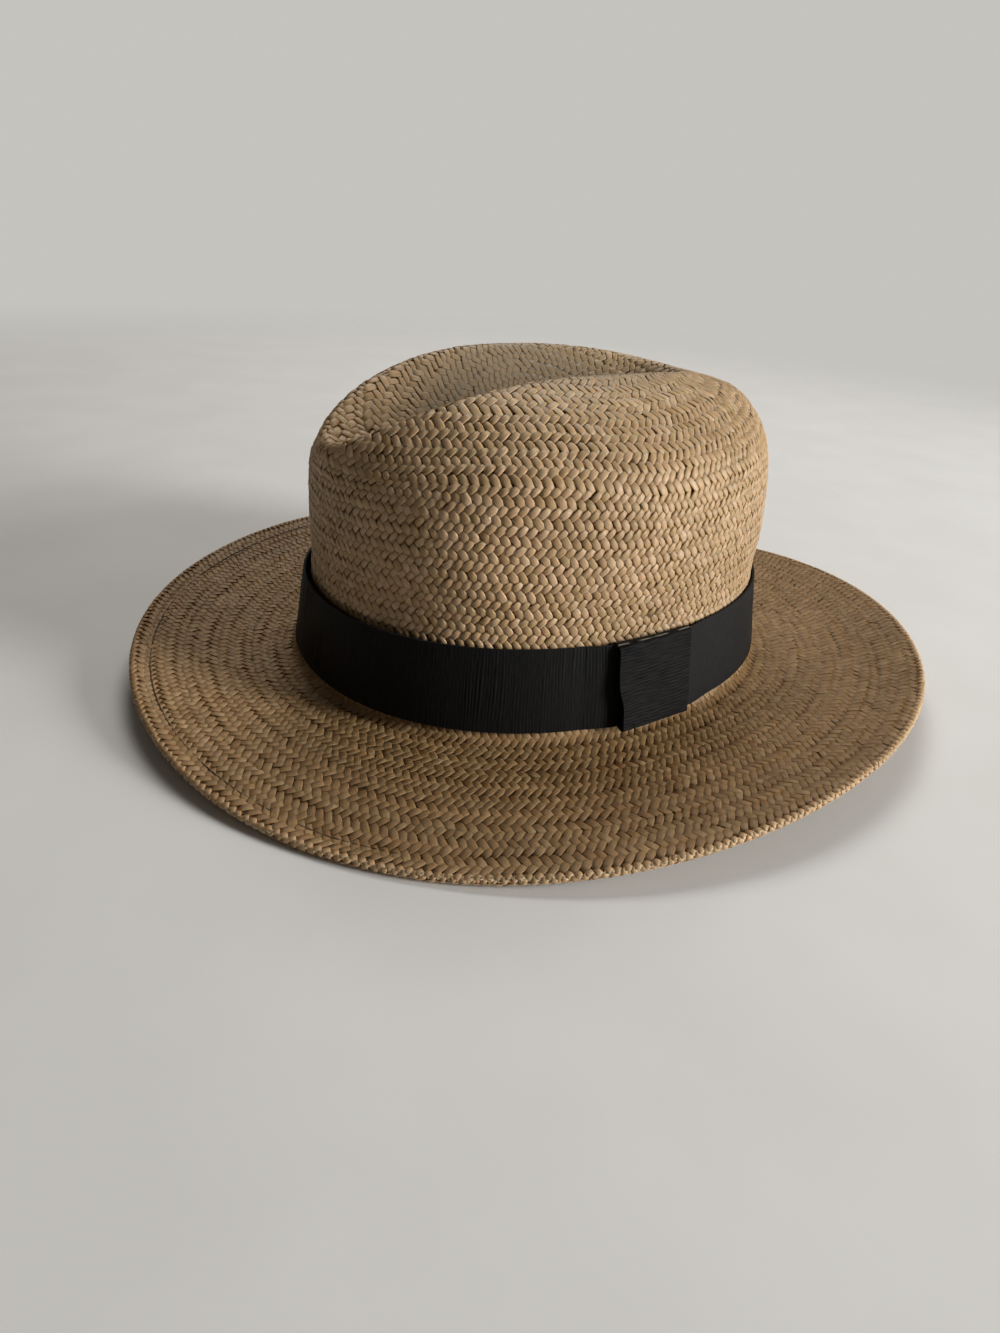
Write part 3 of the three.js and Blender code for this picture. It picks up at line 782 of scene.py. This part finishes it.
keeperRibPlace = alongKeeper * keeperRibs + keeper["ribTurn"] * creases
keeperPatches = keeper["patchLevel"] + wander(acrossMm, keeperZ, keeper["patchWaves"])
ribBump = keeper["ribHeight"] * np.clip(keeperPatches, *band["patchLimits"])
ribBump = ribBump * np.abs(np.sin(math.pi * keeperRibPlace)) ** band["ribPower"]
proud = keeper["proud"] * fromRight ** keeper["proudPower"]
proud = proud * (keeper["proudHigh"] + keeper["proudLower"] * low)
keeperOffset = band["gap"] + (2 * foldReach + proud) * towardsFront + ribBump * (2 * towardsFront - 1)
keeperZ = keeperZ - keeper["drop"] * acrossKeeper * towardsFront * smooth(low, *keeper["dropFades"])
fromFold = walk - straight - keeper["highlightPlace"] * math.pi * foldReach
dashes = smooth(wander(acrossMm, acrossMm, keeper["dashWaves"]), *keeper["dashLimits"])
topHighlight = keeper["paintedHighlight"] * dashes * np.exp(-(fromFold / keeper["highlightHalfWidth"]) ** 2)
wrapStrip(bandKeeper, bandPoint(keeperAngle, keeperOffset, keeperZ), topHighlight)
keeperPlace = bandPoint(np.array([keeperMiddle]), keeper["shownOffset"], middleZ[:1])
keeperWidth = 2 * keeperHalf * np.linalg.norm(keeperPlace[0, :2])
# The keeper's lines reach darker and lighter than the band's: uneven threads, and painted shade across its
# crinkled ribs
dress(bandKeeper, "band_keeper",
      ribbonMaterial("blackGrosgrainKeeper", (keeperLength, keeperWidth), ("#060607", "#1d1c1d"), 0.08))
print("bandKeeper", keeperRibs, "ribs,", round(keeperWidth, 1), "mm wide")

# Floor, light and camera
stage = {
    "floorCorners": 96, "floorRadius": 1.3, "fadeFrom": 0.55, "fadeTo": 1.28, "lampLift": 0.05,     # metres
}
bpy.ops.object.select_all(action="DESELECT")
bpy.ops.mesh.primitive_circle_add(vertices=stage["floorCorners"], radius=stage["floorRadius"],
                                  fill_type="NGON", location=(0, 0, 0))
floor = bpy.context.active_object
floor.name = "floor"
floor.data.materials.append(floorMaterial(stage["fadeFrom"], stage["fadeTo"]))

view = {
    "place": (262.84, -190.94, 169.47), "yaw": 56.84, "pitch": 29.88, "roll": 4.11,
    "focalPixels": 799.77, "longPixels": 1333, "sensor": 36,
}
yaw, pitch, roll = (math.radians(view[key]) for key in ("yaw", "pitch", "roll"))
level = np.array([math.cos(yaw), math.sin(yaw), 0])
ahead = np.array([-math.sin(yaw) * math.cos(pitch), math.cos(yaw) * math.cos(pitch), -math.sin(pitch)])
above = np.cross(level, ahead)
cameraX = math.cos(roll) * level + math.sin(roll) * above
cameraY = -math.sin(roll) * level + math.cos(roll) * above
turned = Matrix(np.stack([cameraX, cameraY, -ahead], 1).tolist()).to_4x4()
bpy.ops.object.camera_add()
camera = bpy.context.active_object
camera.matrix_world = Matrix.Translation([c * mm for c in view["place"]]) @ turned
camera.data.sensor_width = view["sensor"]
camera.data.lens = view["focalPixels"] * view["sensor"] / view["longPixels"]
camera.data.clip_start = 0.01
bpy.context.scene.camera = camera

# A tall window on the right and a softer light from behind, in a room that gives little else
lights = {
    "windowLight": {"turn": 72.5, "rise": 14, "away": 1.7, "wide": 0.42, "tall": 0.9,
                    "power": 35, "colour": "#fffdf8"},
    "backLight": {"turn": 180, "rise": 55, "away": 1.7, "wide": 0.9, "tall": 0.9,
                  "power": 14, "colour": "#fffaf2"},
}
towardsCamera = np.array([math.sin(yaw), -math.cos(yaw), 0])
for name, lamp in lights.items():
    turn, rise = math.radians(lamp["turn"]), math.radians(lamp["rise"])     # turned right of the camera
    flatWay = math.cos(turn) * towardsCamera + math.sin(turn) * level
    lampWay = flatWay * math.cos(rise) + np.array([0, 0, math.sin(rise)])
    lampPlace = lampWay * lamp["away"] + (0, 0, stage["lampLift"])
    bpy.ops.object.light_add(type="AREA", location=lampPlace.tolist())
    source = bpy.context.active_object
    source.name = name
    source.data.shape, source.data.size, source.data.size_y = "RECTANGLE", lamp["wide"], lamp["tall"]
    source.data.energy, source.data.color = lamp["power"], linear(lamp["colour"])[:3]
    source.rotation_mode = "QUATERNION"
    source.rotation_quaternion = (-source.location).to_track_quat("-Z", "Y")
    source.visible_camera = False

# Room: a weak light on the hat that is stronger from the ceiling, and a pale wall behind it
room = {
    "lightColour": "#f2e8d8", "level": 0.024, "overhead": 0.097, "wallColour": "#cfcdc8", "wallStrength": 0.9,
}
world = bpy.data.worlds.new("softStudio")
bpy.context.scene.world = world
world.use_nodes = True
tree = world.node_tree
tree.nodes.clear()
way = addNode(tree, "ShaderNodeTexCoord")
upward = addNode(tree, "ShaderNodeSeparateXYZ", links={"Vector": way.outputs["Generated"]})
fromAbove = addNode(tree, "ShaderNodeMapRange",
                    {"From Min": 0.0, "From Max": 1.0, "To Min": room["level"], "To Max": room["overhead"]},
                    {"Value": upward.outputs["Z"]})
even = addNode(tree, "ShaderNodeBackground", {"Color": linear(room["lightColour"])},
               {"Strength": fromAbove.outputs["Result"]})
wall = addNode(tree, "ShaderNodeBackground",
               {"Color": linear(room["wallColour"]), "Strength": room["wallStrength"]})
path = addNode(tree, "ShaderNodeLightPath")
seen = addNode(tree, "ShaderNodeMixShader",
               links={0: path.outputs["Is Camera Ray"], 1: even.outputs["Background"],
                      2: wall.outputs["Background"]})
addNode(tree, "ShaderNodeOutputWorld", links={"Surface": seen.outputs["Shader"]})
bpy.context.scene.view_settings.view_transform = "Standard"
print("camera and light set")
